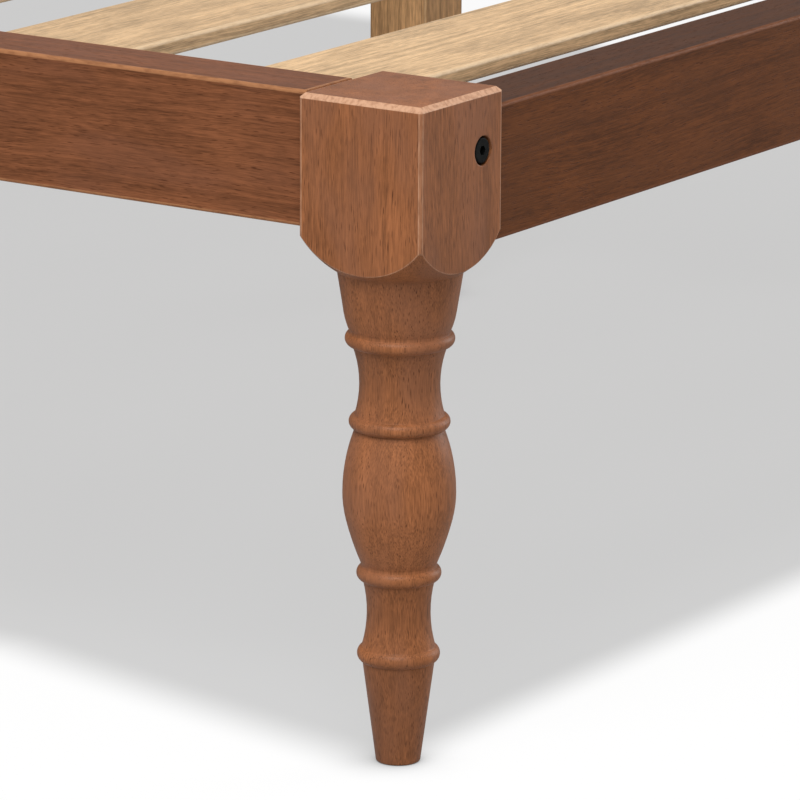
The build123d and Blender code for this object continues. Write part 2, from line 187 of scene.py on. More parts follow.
def wood_mix(tree, share, under, over):
    """Colour under, giving way to colour over as the share goes from 0 to 1.

    The node's sockets 6 and 7 take the two colours, and socket 2 gives their mix.
    """
    inputs = {"Factor": share, 6: under, 7: over}
    return wood_node(tree, "ShaderNodeMix", inputs, data_type="RGBA").outputs[2]


def wood_noise(tree, place, across, along, detail, output="Fac"):
    """Soft noise whose spots are so many millimetres across the grain and along it."""
    stretched = wood_vector(tree, "MULTIPLY", place, (1 / across, 1 / across, 1 / along)).outputs[0]
    inputs = {"Vector": stretched, "Scale": 1, "Detail": detail}
    return wood_node(tree, "ShaderNodeTexNoise", inputs).outputs[output]


def pore_dashes(tree, place, across, along, share):
    """Short dark dashes: the core of each stretched cell, kept in a share of the cells."""
    stretched = wood_vector(tree, "MULTIPLY", place, (1 / across, 1 / across, 1 / along)).outputs[0]
    cells = wood_node(tree, "ShaderNodeTexVoronoi", {"Vector": stretched, "Scale": 1})
    core = wood_fade(tree, cells.outputs["Distance"], *PORE_CORE, 1.0, 0.0)
    lot = wood_node(tree, "ShaderNodeSeparateColor", {"Color": cells.outputs["Color"]})
    kept = wood_fade(tree, lot.outputs[0], 1 - share, 1 + PORE_SOFTNESS - share)
    depth = wood_fade(tree, lot.outputs[1], 0.0, 1.0, FAINTEST_PORE, 1.0)
    return wood_sum(tree, "MULTIPLY", wood_sum(tree, "MULTIPLY", core, kept), depth)


def arris_wear_and_highlight(tree, where, low, high, arris, chamfer, filling):
    """Share of wear and painted highlight on a box's rounded arrises, and on the chamfer round its top, in
    millimetres.

    The two smallest of the distances to the box's three pairs of faces add up to the arris's
    radius where its rounding starts, to less within it, and to the chamfer's size all over the
    chamfer. Thin paler lines, partly wear and partly painted highlight, follow the sum that arris
    gives, and filling is the share of this paler colour between the two lines of one arris.
    """
    inputs = {0: where, "Scale": MILLIMETRES}
    place = wood_node(tree, "ShaderNodeVectorMath", inputs, operation="SCALE").outputs[0]
    centre, half = (low + high) / 2 * MILLIMETRES, (high - low) / 2 * MILLIMETRES
    away = wood_vector(tree, "ABSOLUTE", wood_vector(tree, "SUBTRACT", place, centre).outputs[0])
    inside = wood_vector(tree, "SUBTRACT", half, away.outputs[0]).outputs[0]
    first, second, third = wood_node(tree, "ShaderNodeSeparateXYZ", {0: inside}).outputs
    pair = wood_sum(tree, "ADD", first, second)
    pair = wood_sum(tree, "MINIMUM", pair, wood_sum(tree, "ADD", second, third))
    pair = wood_sum(tree, "MINIMUM", pair, wood_sum(tree, "ADD", first, third))
    off_line = wood_sum(tree, "ABSOLUTE", wood_sum(tree, "SUBTRACT", pair, arris))
    line = wood_fade(tree, off_line, *WORN_AND_HIGHLIGHT_LINE, 0.0, max(filling, LEAST_LINE_SHARE))
    within = wood_fade(tree, pair, arris + ARRIS_SOFTNESS, arris - ARRIS_SOFTNESS, 0.0, filling)
    worn_and_lit = wood_sum(tree, "MAXIMUM", line, within)
    if chamfer:
        sloped = wood_fade(tree, pair, *(chamfer + past for past in CHAMFER_END))
        upper = wood_fade(tree, third, *(chamfer + past for past in CHAMFER_FOOT))
        worn_and_lit = wood_sum(tree, "MAXIMUM", worn_and_lit, wood_sum(tree, "MULTIPLY", sloped, upper))
    return worn_and_lit


def timber(
    name,
    board,
    grain,
    heart,
    brown,
    pore,
    worn_and_highlight_brown,
    arris,
    chamfer=0.0,
    filling=0.8,
    banding=0.30,
    poring=1.0,
    rosy=0.0,
    shine=LACQUER_SHINE,
    stain_and_shade=(),
    crease=(),
):
    """One board's wood as a solid pattern, so that its faces, arrises and end grain agree.

    Growth bands are noise along the distance from the heart of the tree, which wanders with the
    grain, and they fade out on end grain. Over them lie long fibres, dark pores and broad
    patches, of which some are rosier. The stain may vary with height, together with painted
    shade. The arrises are given a paler brown that is partly wear and partly painted highlight,
    as are the creases between two heights where these are given.
    """
    material = bpy.data.materials.new(name)
    material.use_nodes = True
    tree = material.node_tree
    shader = tree.nodes["Principled BSDF"]
    low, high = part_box(board)
    turn = GRAIN_TURNS[grain]
    where = wood_node(tree, "ShaderNodeTexCoord").outputs["Object"]
    inputs = {
        "Vector": where,
        "Location": Vector((*heart, 0)) - turn.to_matrix() @ ((low + high) / 2 * MILLIMETRES),
        "Rotation": turn,
        "Scale": (MILLIMETRES, MILLIMETRES, MILLIMETRES),
    }
    place = wood_node(tree, "ShaderNodeMapping", inputs).outputs[0]
    facing = wood_node(tree, "ShaderNodeNewGeometry").outputs["Normal"]
    facings = wood_node(tree, "ShaderNodeSeparateXYZ", {0: facing})
    along = wood_sum(tree, "ABSOLUTE", facings.outputs["XYZ".index(grain)])
    side_grain = wood_fade(tree, along, *END_GRAIN_FADE)

    wander = wood_noise(tree, place, *WANDER_SPOTS, "Color")
    wander_reach = (BAND_WANDER, BAND_WANDER, 0)
    wandered = wood_vector(tree, "MULTIPLY_ADD", wander, wander_reach, place).outputs[0]
    flat = wood_vector(tree, "MULTIPLY", wandered, (1, 1, 0)).outputs[0]
    reach = wood_vector(tree, "LENGTH", flat).outputs["Value"]
    inputs = {"W": wood_sum(tree, "MULTIPLY", reach, BANDS_PER_MILLIMETRE), **BAND_DETAIL}
    bands = wood_node(tree, "ShaderNodeTexNoise", inputs, noise_dimensions="1D").outputs["Fac"]
    bands = wood_sum(tree, "MULTIPLY", wood_sum(tree, "SUBTRACT", bands, 0.5), side_grain)

    fibres = wood_noise(tree, wandered, *FIBRE_SPOTS)
    streaks = wood_noise(tree, wandered, *STREAK_SPOTS)
    patches = wood_noise(tree, place, *PATCH_SPOTS)
    mottle = wood_noise(tree, place, *MOTTLE_SPOTS)
    clouds = wood_noise(tree, place, *CLOUD_SPOTS)
    short, long = (pore_dashes(tree, wandered, *kind) for kind in (SHORT_PORES, LONG_PORES))
    pores = wood_sum(tree, "MAXIMUM", short, long)
    pores = wood_sum(tree, "MULTIPLY", pores, wood_fade(tree, patches, *PORES_BY_PATCH))

    cloudy = wood_sum(tree, "MULTIPLY_ADD", side_grain, -CLOUD_TONE, CLOUD_TONE)
    cloudy = wood_sum(tree, "MULTIPLY", wood_sum(tree, "SUBTRACT", clouds, 0.5), cloudy)
    tone = wood_sum(tree, "MULTIPLY_ADD", bands, banding, BASE_TONE)
    tone = wood_sum(tree, "ADD", tone, cloudy)
    tone = wood_sum(tree, "MULTIPLY_ADD", wood_sum(tree, "SUBTRACT", fibres, 0.5), FIBRE_TONE, tone)
    tone = wood_sum(tree, "MULTIPLY_ADD", streaks, STREAK_TONE, tone)
    tone = wood_sum(tree, "MULTIPLY_ADD", patches, PATCH_TONE, tone)
    tone = wood_sum(tree, "MULTIPLY_ADD", mottle, MOTTLE_TONE, tone)
    shades = wood_node(tree, "ShaderNodeValToRGB", {"Fac": tone})
    stops = shades.color_ramp.elements
    for stop, (position, share) in zip([stops[0], stops[1]], [DARKEST_TONE, PALEST_TONE]):
        stop.position = position
        stop.color = [share * part for part in brown] + [1]
    stops.new(MIDDLE_TONE).color = [*brown, 1]
    rosier = wood_fade(tree, wood_noise(tree, place, *ROSE_SPOTS, "Color"), *ROSE_FADE, 0.0, rosy)
    rose = [share * part for share, part in zip(ROSE_SHARES, brown)] + [1]
    colour = wood_mix(tree, rosier, shades.outputs[0], rose)
    colour = wood_mix(tree, wood_sum(tree, "MULTIPLY", pores, poring), colour, (*pore, 1))
    heights = wood_node(tree, "ShaderNodeSeparateXYZ", {0: where}).outputs[2]
    if stain_and_shade:
        inputs = {"Fac": wood_sum(tree, "DIVIDE", heights, high.z)}
        shares = wood_node(tree, "ShaderNodeValToRGB", inputs)
        stops = shares.color_ramp.elements
        for stop, (height, share) in zip([stops[0], stops[1]], [stain_and_shade[0], stain_and_shade[-1]]):
            stop.position = height / (high.z * MILLIMETRES)
            stop.color = (share, share, share, 1)
        for height, share in stain_and_shade[1:-1]:
            stops.new(height / (high.z * MILLIMETRES)).color = (share, share, share, 1)
        # Darker or paler by height: partly the stain, partly painted shade
        colour = wood_vector(tree, "MULTIPLY", colour, shares.outputs[0]).outputs[0]

    eased = wood_node(tree, "ShaderNodeBevel", {"Radius": EASED_ARRIS}, samples=EASED_SAMPLES).outputs[0]
    worn_and_lit = arris_wear_and_highlight(tree, where, low, high, arris, chamfer, filling)
    if crease:
        level = wood_vector(tree, "DOT_PRODUCT", eased, facing).outputs["Value"]
        start, end = (height / MILLIMETRES for height in crease)
        above = wood_fade(tree, heights, start, start + CREASE_SOFTNESS)
        below = wood_fade(tree, heights, end + CREASE_SOFTNESS, end)
        edge = wood_fade(tree, level, *CREASE_LEVEL, 0.0, CREASE_SHARE)
        edge = wood_sum(tree, "MULTIPLY", edge, above)
        worn_and_lit = wood_sum(tree, "MAXIMUM", worn_and_lit, wood_sum(tree, "MULTIPLY", edge, below))
    worn_and_lit = wood_sum(tree, "MULTIPLY", worn_and_lit, wood_fade(tree, mottle, *WEAR_AND_HIGHLIGHT_BY_MOTTLE))
    # Paler brown along arrises and creases: partly wear, partly painted highlight
    colour = wood_mix(tree, worn_and_lit, colour, (*worn_and_highlight_brown, 1))
    tree.links.new(colour, shader.inputs["Base Color"])
    shader.inputs["Specular IOR Level"].default_value = shine

    rough = wood_sum(tree, "MULTIPLY_ADD", fibres, FIBRE_ROUGHNESS, LEAST_ROUGHNESS)
    rough = wood_sum(tree, "MULTIPLY_ADD", pores, PORE_ROUGHNESS, rough)
    tree.links.new(rough, shader.inputs["Roughness"])

    relief = wood_sum(tree, "MULTIPLY", fibres, FIBRE_RELIEF)
    relief = wood_sum(tree, "MULTIPLY_ADD", pores, PORE_RELIEF, relief)
    bump = wood_node(tree, "ShaderNodeBump", {**GRAIN_RELIEF, "Height": relief, "Normal": eased})
    tree.links.new(bump.outputs[0], shader.inputs["Normal"])
    return material


def finish_with(node, material):
    """Gives a piece of the frame its finish, in every slot that its mesh has."""
    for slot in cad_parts[node].material_slots:
        slot.link = "OBJECT"
        slot.material = material


for number, post in enumerate(POSTS):
    heart = [start + number * step for start, step in zip(POST_HEART, NEXT_HEART)]
    wood = timber(
        f"{post}_wood",
        post,
        "Z",
        heart,
        POST_BROWN,
        PORE_BROWN,
        SANDED_AND_HIGHLIGHT_BROWN,
        POST_ARRIS,
        chamfer=POST_CHAMFER,
        filling=POST_FILLING,
        rosy=POST_ROSE,
        stain_and_shade=STAIN_AND_SHADE_BY_HEIGHT,
        crease=CREASE_HEIGHTS,
    )
    finish_with(post, wood)

# Rails. Four boards with eased edges, in the posts' wood and stain. The side rails stand
# level with the tops of the posts, and the end rails, which took the stain darker, lie lower.

SIDE_RAIL_BROWN = (0.184, 0.066, 0.028)
END_RAIL_BROWN = (0.126, 0.039, 0.010)
RAIL_SHINE = 0.07
RAIL_BANDING = 0.55
RAIL_ROSE = 0.3
# Paler brown of the rails' arrises: partly wear, partly painted highlight
RAIL_WORN_AND_HIGHLIGHT = (0.420, 0.190, 0.085)
RAIL_ARRIS = 1.5

# Heights in millimetres and shares as for the posts: the end rails' tops are darkened with painted shade
END_RAIL_TOP_SHADE = [(0, 1.0), (294.0, 1.0), (295.0, 0.55)]

# Each rail's grain, the heart of its tree in millimetres off the rail's middle, and its brown
RAILS = {
    "side_rail_left": ("Y", (44, 96), SIDE_RAIL_BROWN),
    "side_rail_right": ("Y", (-52, 88), SIDE_RAIL_BROWN),
    "foot_rail": ("X", (70, 61), END_RAIL_BROWN),
    "head_rail": ("X", (-66, 74), END_RAIL_BROWN),
}

for rail, (grain, heart, brown) in RAILS.items():
    # The end rails' tops get painted shade, and the side rails get none
    worn_and_highlight_brown, stain_and_shade = (RAIL_WORN_AND_HIGHLIGHT, ()) if grain == "Y" else (SIDE_RAIL_BROWN, END_RAIL_TOP_SHADE)
    wood = timber(
        f"{rail}_wood",
        rail,
        grain,
        heart,
        brown,
        PORE_BROWN,
        worn_and_highlight_brown,
        RAIL_ARRIS,
        banding=RAIL_BANDING,
        rosy=RAIL_ROSE,
        shine=RAIL_SHINE,
        stain_and_shade=stain_and_shade,
    )
    finish_with(rail, wood)

# Dowels. Plain beech pins, glued into the ends of the rails. Those of the end rails are glued
# into the posts as well, and those of the side rails keep them level while the bolts are drawn up.

BEECH = (0.560, 0.360, 0.210)
BEECH_PORE = (0.330, 0.180, 0.090)
# Paler brown of the dowels' arrises: partly wear, partly painted highlight
BEECH_WORN_AND_HIGHLIGHT = (0.640, 0.440, 0.280)
BEECH_ARRIS = 0.3
BEECH_PORING = 0.35
BEECH_HEART = (30, 41)

for dowels, grain in (("side_rail_dowels", "Y"), ("end_rail_dowels", "X")):
    wood = timber(
        f"{dowels}_wood",
        dowels,
        grain,
        BEECH_HEART,
        BEECH,
        BEECH_PORE,
        BEECH_WORN_AND_HIGHLIGHT,
        BEECH_ARRIS,
        poring=BEECH_PORING,
    )
    finish_with(dowels, wood)

# Bolts, washers and barrel nuts. The button-head bolts and their washers are black-oxide steel,
# and the nuts, which hide in the cleats, are bright zinc plate.

BLACK_OXIDE = ((0.0030, 0.0032, 0.0030), (0.0075, 0.0078, 0.0072))
BRIGHT_ZINC = ((0.470, 0.490, 0.510), (0.640, 0.650, 0.650))
BLOTCH_FADE = (0.32, 0.68)
BLOTCH_ROUGHNESS = 0.18
SCRATCH_LENGTH = 14
SCRATCH_ROUGHNESS = 0.12
SCRATCH_RELIEF = {"Strength": 0.30, "Distance": 0.00004}
METAL_ARRIS = 0.0003
METAL_ARRIS_SAMPLES = 4


def metal(name, dark, light, metallic, roughness, blotch, scratch, shine=0.5):
    """Steel or nylon: two tones that blend in blotches, under fine random scratches.

    Blotch and scratch are the widths of these in millimetres, and both change the roughness a
    little. Shine is the strength of the reflection where the material isn't metallic.
    """
    material = bpy.data.materials.new(name)
    material.use_nodes = True
    tree = material.node_tree
    shader = tree.nodes["Principled BSDF"]
    where = wood_node(tree, "ShaderNodeTexCoord").outputs["Object"]
    inputs = {0: where, "Scale": MILLIMETRES}
    place = wood_node(tree, "ShaderNodeVectorMath", inputs, operation="SCALE").outputs[0]
    blotches = wood_noise(tree, place, blotch, blotch, 4)
    scratches = wood_noise(tree, place, scratch, SCRATCH_LENGTH * scratch, 2)
    share = wood_fade(tree, blotches, *BLOTCH_FADE)
    tree.links.new(wood_mix(tree, share, (*dark, 1), (*light, 1)), shader.inputs["Base Color"])
    shader.inputs["Metallic"].default_value = metallic
    shader.inputs["Specular IOR Level"].default_value = shine
    rough = wood_sum(tree, "MULTIPLY_ADD", blotches, BLOTCH_ROUGHNESS, roughness - BLOTCH_ROUGHNESS / 2)
    rough = wood_sum(tree, "MULTIPLY_ADD", scratches, SCRATCH_ROUGHNESS, rough)
    tree.links.new(rough, shader.inputs["Roughness"])
    inputs = {"Radius": METAL_ARRIS}
    eased = wood_node(tree, "ShaderNodeBevel", inputs, samples=METAL_ARRIS_SAMPLES).outputs[0]
    inputs = {**SCRATCH_RELIEF, "Height": scratches, "Normal": eased}
    tree.links.new(wood_node(tree, "ShaderNodeBump", inputs).outputs[0], shader.inputs["Normal"])
    return material


black_oxide = metal(
    "black_oxide",
    *BLACK_OXIDE,
    metallic=0.0,
    roughness=0.5,
    blotch=2.2,
    scratch=0.25,
    shine=0.05,
)
bright_zinc = metal(
    "bright_zinc", *BRIGHT_ZINC, metallic=1.0, roughness=0.34, blotch=5.0, scratch=0.30
)
finish_with("side_rail_bolts", black_oxide)
finish_with("side_rail_washers", black_oxide)
finish_with("barrel_nuts", bright_zinc)

# Cleats, centre beam and centre legs. Sawn and planed softwood that the stained rails hide,
# with a clear sealer and no colour of its own.

PINE = (0.520, 0.300, 0.140)
PINE_PORE = (0.300, 0.140, 0.055)
# Paler brown of the pine's arrises: partly wear, partly painted highlight
PINE_WORN_AND_HIGHLIGHT = (0.640, 0.430, 0.240)
PINE_ARRIS = 1.0
PINE_BANDING = 0.95
PINE_PORING = 0.3

# Each board's grain, and the heart of its tree in millimetres off the board's middle
PINE_BOARDS = {
    "slat_cleat_left": ("Y", (31, 22)),
    "slat_cleat_right": ("Y", (-27, 35)),
    "centre_beam": ("Y", (48, -39)),
    "centre_leg_1": ("Z", (25, 34)),
    "centre_leg_2": ("Z", (-33, 28)),
    "centre_leg_3": ("Z", (29, -37)),
}

for board, (grain, heart) in PINE_BOARDS.items():
    wood = timber(
        f"{board}_pine",
        board,
        grain,
        heart,
        PINE,
        PINE_PORE,
        PINE_WORN_AND_HIGHLIGHT,
        PINE_ARRIS,
        banding=PINE_BANDING,
        poring=PINE_PORING,
    )
    finish_with(board, wood)

# Beam hangers. Two stirrups folded from 2 mm sheet, bright zinc plated, one screwed to the
# inner face of each end rail, with the end of the beam lying in it.

for hanger in ("beam_hanger_foot", "beam_hanger_head"):
    finish_with(hanger, bright_zinc)

# Threaded inserts and studs. Zinc-plated steel, driven into the beam and the legs: a stud
# joins each leg to the beam, and the lower inserts take the stems of the levelling feet.

finish_with("threaded_inserts", bright_zinc)
finish_with("leg_studs", bright_zinc)

# Levelling feet. A moulded black nylon pad with a hexagon to turn it by, and a threaded steel
# stem that screws up into the insert in its leg.

NYLON = ((0.018, 0.018, 0.019), (0.030, 0.030, 0.031))
FEET = (1, 2, 3)
SHARP_ANGLE = math.radians(35)
STEM_PITCH = 0.00125
THREAD_DEPTH = 0.0007
THREAD_FLANK = 2.6
THREAD_CREST = 0.15
STEM_CHAMFER = 0.0012
STEM_STEPS = 32
PITCH_STEPS = 6


def closed_turnings(name, rings):
    """Mesh of one or more turned bodies. Rings is an array of body, ring, step round it and place.

    Each body's rings go up its own axis, each anticlockwise seen from above, and a point at
    either end closes it, so all faces point outwards.
    """
    bodies, rows, steps, _ = rings.shape
    ends = np.stack([rings[:, 0].mean(axis=1), rings[:, -1].mean(axis=1)], axis=1)
    points = np.concatenate([rings.reshape(bodies, -1, 3), ends], axis=1)
    row, step = np.meshgrid(np.arange(rows - 1), np.arange(steps), indexing="ij")
    here, right = row * steps + step, row * steps + (step + 1) % steps
    lower = np.stack([here, right, right + steps], axis=-1).reshape(-1, 3)
    upper = np.stack([here, right + steps, here + steps], axis=-1).reshape(-1, 3)
    step = np.arange(steps)
    right = (step + 1) % steps
    top = (rows - 1) * steps
    bottom_cap = np.stack([np.full(steps, rows * steps), right, step], axis=-1)
    top_cap = np.stack([np.full(steps, rows * steps + 1), top + step, top + right], axis=-1)
    faces = np.concatenate([lower, upper, bottom_cap, top_cap])
    faces = faces[None] + points.shape[1] * np.arange(bodies)[:, None, None]
    mesh = bpy.data.meshes.new(name)
    mesh.from_pydata(points.reshape(-1, 3).tolist(), [], faces.reshape(-1, 3).tolist())
    mesh.shade_smooth()
    mesh.set_sharp_from_angle(angle=SHARP_ANGLE)
    piece = bpy.data.objects.new(name, mesh)
    bpy.context.scene.collection.objects.link(piece)
    return piece


def threaded_stem(length, radius):
    """Rings of a threaded rod that stands on the origin, with chamfered ends.

    The radius falls from the crest by the thread's depth times a trapezium wave of height over
    pitch minus the turn, so that the ridge climbs one pitch a turn. At either end it falls to
    the root over the chamfer's height.
    """
    rows = int(length / STEM_PITCH * PITCH_STEPS) + 1
    heights = np.linspace(0, length, rows)[:, None]
    turn = np.arange(STEM_STEPS)[None] / STEM_STEPS
    phase = (heights / STEM_PITCH - turn) % 1
    groove = np.clip(THREAD_FLANK * np.abs(phase - 0.5) - THREAD_CREST, 0, 1)
    from_end = np.minimum(heights, length - heights)
    chamfered = radius - THREAD_DEPTH * (1 - from_end / STEM_CHAMFER)
    reach = np.minimum(radius - THREAD_DEPTH * groove, chamfered)
    angle = 2 * np.pi * turn
    return np.stack([reach * np.cos(angle), reach * np.sin(angle), heights + 0 * angle], axis=-1)


def stand_for(piece, node, body, material):
    """Lets a new piece stand for a node of the frame, on that node's body and in its slot."""
    piece.data.materials.append(material)
    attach(piece, body)
    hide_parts(node)


nylon = metal("moulded_nylon", *NYLON, metallic=0.0, roughness=0.52, blotch=9.0, scratch=0.35)

for number in FEET:
    finish_with(f"foot_pad_{number}", nylon)
    low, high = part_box(f"foot_stem_{number}")
    rings = threaded_stem(high.z - low.z, (high.x - low.x) / 2)
    foot = np.array([(low.x + high.x) / 2, (low.y + high.y) / 2, low.z])
    stem = closed_turnings(f"threaded_stem_{number}", rings[None] + foot)
    stand_for(stem, f"foot_stem_{number}", f"levelling_foot_{number}", bright_zinc)

# Slats. Fourteen planed pale boards with eased edges, laid across the cleats and the beam and
# screwed down at both ends. Their tints vary a little from board to board.

SLAT_COUNT = 14
SLATS = [f"slat_{number:02d}" for number in range(1, SLAT_COUNT + 1)]
SLAT_BROWN = (0.600, 0.400, 0.220)
SLAT_TINTS = (1.00, 0.93, 1.05, 0.97, 0.90)
SLAT_PORE = (0.360, 0.190, 0.080)
# Paler brown of the slats' arrises: partly wear, partly painted highlight
SLAT_WORN_AND_HIGHLIGHT = (0.700, 0.520, 0.330)
SLAT_ARRIS = 1.5
SLAT_BANDING = 0.80
SLAT_PORING = 0.3
SLAT_HEART = (26, 12)
SLAT_HEART_STEPS = (17, -19)
SLAT_HEART_TURNS = (4, 3)

for number, slat in enumerate(SLATS):
    brown = [SLAT_TINTS[number % len(SLAT_TINTS)] * part for part in SLAT_BROWN]
    hearts = zip(SLAT_HEART, SLAT_HEART_STEPS, SLAT_HEART_TURNS)
    heart = [start + step * (number % turns) for start, step, turns in hearts]
    wood = timber(
        f"{slat}_wood",
        slat,
        "X",
        heart,
        brown,
        SLAT_PORE,
        SLAT_WORN_AND_HIGHLIGHT,
        SLAT_ARRIS,
        banding=SLAT_BANDING,
        poring=SLAT_PORING,
    )
    finish_with(slat, wood)

# Wood screws. Yellow-zinc countersunk screws with a cross recess hold the slats to the cleats,
# the cleats to the side rails and the hangers to the end rails.

YELLOW_ZINC = ((0.420, 0.330, 0.150), (0.600, 0.520, 0.300))
SCREW_HEAD = 0.004
SCREW_SHANK = 0.002
SCREW_ROOT = 0.0013
SCREW_PITCH = 0.002
SCREW_FLANK = 2.6
SCREW_POINT = 0.0045
SCREW_TIP_SHARE = 0.06
SCREW_STEPS = 24
SCREW_PITCH_STEPS = 5
RECESS_REACH = 0.0024
RECESS_HALF = 0.0005
RECESS_DEPTH = 0.0016
RECESS_SLOPE = 0.5
RECESS_WALL = 0.0002
RECESS_END_WALL = 0.0003
RECESS_ROWS = 16
RECESS_CENTRE_SHARE = 0.05
HANGER_SCREW_INSET = 0.009
HANGER_STEEL = 0.002


def countersunk_screw(length):
    """Rings of one screw from its point up to its head, whose flat top is at the origin.

    The thread's radius is a triangle wave of height over pitch minus the turn, and shrinks to
    the point. The head's top falls into a cross where either coordinate is within the recess's
    half width, deeper towards the middle.
    """
    angle = 2 * np.pi * np.arange(SCREW_STEPS)[None] / SCREW_STEPS
    neck = SCREW_HEAD - SCREW_SHANK
    rows = int((length - neck) / SCREW_PITCH * SCREW_PITCH_STEPS) + 1
    heights = np.linspace(-length, -neck, rows)[:, None]
    phase = (heights / SCREW_PITCH - angle / (2 * np.pi)) % 1
    ridge = np.clip(1 - SCREW_FLANK * np.abs(phase - 0.5), 0, 1)
    reach = SCREW_ROOT + (SCREW_SHANK - SCREW_ROOT) * ridge
    plain = np.clip((heights + neck) / SCREW_PITCH + 1, 0, 1)
    reach = reach + (SCREW_SHANK - reach) * plain
    reach = reach * np.clip((heights + length) / SCREW_POINT, SCREW_TIP_SHARE, 1)
    thread = np.stack([reach * np.cos(angle), reach * np.sin(angle), heights + 0 * angle], axis=-1)

    radii = SCREW_HEAD * np.linspace(1, RECESS_CENTRE_SHARE, RECESS_ROWS)[:, None]
    east, north = radii * np.cos(angle), radii * np.sin(angle)
    nearest = np.minimum(np.abs(east), np.abs(north))
    within = np.clip((RECESS_HALF - nearest) / RECESS_WALL + 0.5, 0, 1)
    within = within * np.clip((RECESS_REACH - radii) / RECESS_END_WALL, 0, 1)
    fall = RECESS_DEPTH * within * (1 - RECESS_SLOPE * radii / RECESS_REACH)
    top = np.stack([east, north, -fall], axis=-1)
    return np.concatenate([thread, top])


def driven(screw, heads, facing):
    """Copies of one screw's rings, each with its head at a place and facing one way."""
    turn = np.array(Vector(facing).to_track_quat("Z", "Y").to_matrix())
    return (screw @ turn.T)[None] + np.array(heads)[:, None, None]


def middle(node, part):
    """Middle of a node's box along one axis."""
    low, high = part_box(node)
    return (low["XYZ".index(part)] + high["XYZ".index(part)]) / 2


yellow_zinc = metal("yellow_zinc", *YELLOW_ZINC, metallic=1.0, roughness=0.36, blotch=1.6, scratch=0.2)
slat_lines = [middle(slat, "Y") for slat in SLATS]

low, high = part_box("slat_screws")
cleat_lines = [middle(cleat, "X") for cleat in ("slat_cleat_left", "slat_cleat_right")]
heads = [(across, line, high.z) for line in slat_lines for across in cleat_lines]
rings = driven(countersunk_screw(high.z - low.z), heads, (0, 0, 1))
screws = closed_turnings("recessed_slat_screws", rings)
stand_for(screws, "slat_screws", "bed_frame", yellow_zinc)

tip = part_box("cleat_screws")[1].x
level = middle("cleat_screws", "Z")
between = [(near + far) / 2 for near, far in zip(slat_lines[:-1:2], slat_lines[1::2])]
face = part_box("slat_cleat_right")[0].x
screw = countersunk_screw(tip - face)
sides = []
for side in (-1, 1):
    heads = [(side * face, line, level) for line in between]
    sides.append(driven(screw, heads, (-side, 0, 0)))
screws = closed_turnings("recessed_cleat_screws", np.concatenate(sides))
stand_for(screws, "cleat_screws", "bed_frame", yellow_zinc)

low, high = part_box("beam_hanger_head")
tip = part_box("hanger_screws")[1].y
face = high.y - HANGER_STEEL
screw = countersunk_screw(tip - face)
across = high.x - HANGER_SCREW_INSET
levels = (low.z + HANGER_SCREW_INSET, high.z - HANGER_SCREW_INSET)
ends = []
for end in (-1, 1):
    heads = [(side * across, end * face, level) for side in (-1, 1) for level in levels]
    ends.append(driven(screw, heads, (0, -end, 0)))
screws = closed_turnings("recessed_hanger_screws", np.concatenate(ends))
stand_for(screws, "hanger_screws", "bed_frame", yellow_zinc)

# Floor. A pale sheet, white around the bed, with a painted shadow of plain grey below the bed
# and a soft border between, and that takes the shadows of the feet.

FLOOR_REACH = 14.0

# The painted shadow under the bed, a grey in the floor's own colour, with its sizes in metres. Its
# half width is SHADE_SIDE plus SHADE_TAPER times the distance along the bed from its middle, which
# counts as SHADE_TAPER_START at least.
PAINTED_SHADOW_GREY = 0.612
SHADE_SIDE = 0.557
SHADE_SIDE_SOFTNESS = 0.027
SHADE_TAPER = 0.224
SHADE_TAPER_START = 0.78
SHADE_END = 1.028
SHADE_END_SOFTNESS = 0.019

# The share of the paper that glows evenly to the camera, the paper's paleness for light that
# bounces off it and for the camera, and the shadow close round each foot
SHOWN_SHARE = 0.90
FLOOR_BOUNCE = 0.50
FLOOR_SEEN = 0.90
CONTACT_REACH = 0.034
CONTACT_FADE = (0.0, 0.95, 0.10, 1.0)
CONTACT_SAMPLES = 12

corners = [(-FLOOR_REACH, -FLOOR_REACH, 0), (FLOOR_REACH, -FLOOR_REACH, 0)]
corners += [(FLOOR_REACH, FLOOR_REACH, 0), (-FLOOR_REACH, FLOOR_REACH, 0)]
sheet = bpy.data.meshes.new("floor")
sheet.from_pydata(corners, [], [(0, 1, 2, 3)])
floor = bpy.data.objects.new("floor", sheet)
bpy.context.scene.collection.objects.link(floor)

paper = bpy.data.materials.new("floor_paper")
paper.use_nodes = True
tree = paper.node_tree
tree.nodes.clear()
where = wood_node(tree, "ShaderNodeTexCoord").outputs["Object"]
across, along, _ = wood_node(tree, "ShaderNodeSeparateXYZ", {0: where}).outputs
along = wood_sum(tree, "ABSOLUTE", along)
tapering = wood_sum(tree, "MAXIMUM", along, SHADE_TAPER_START)
across = wood_sum(tree, "MULTIPLY_ADD", tapering, -SHADE_TAPER, wood_sum(tree, "ABSOLUTE", across))
side = wood_fade(tree, across, SHADE_SIDE + SHADE_SIDE_SOFTNESS, SHADE_SIDE - SHADE_SIDE_SOFTNESS)
end = wood_fade(tree, along, SHADE_END + SHADE_END_SOFTNESS, SHADE_END - SHADE_END_SOFTNESS)
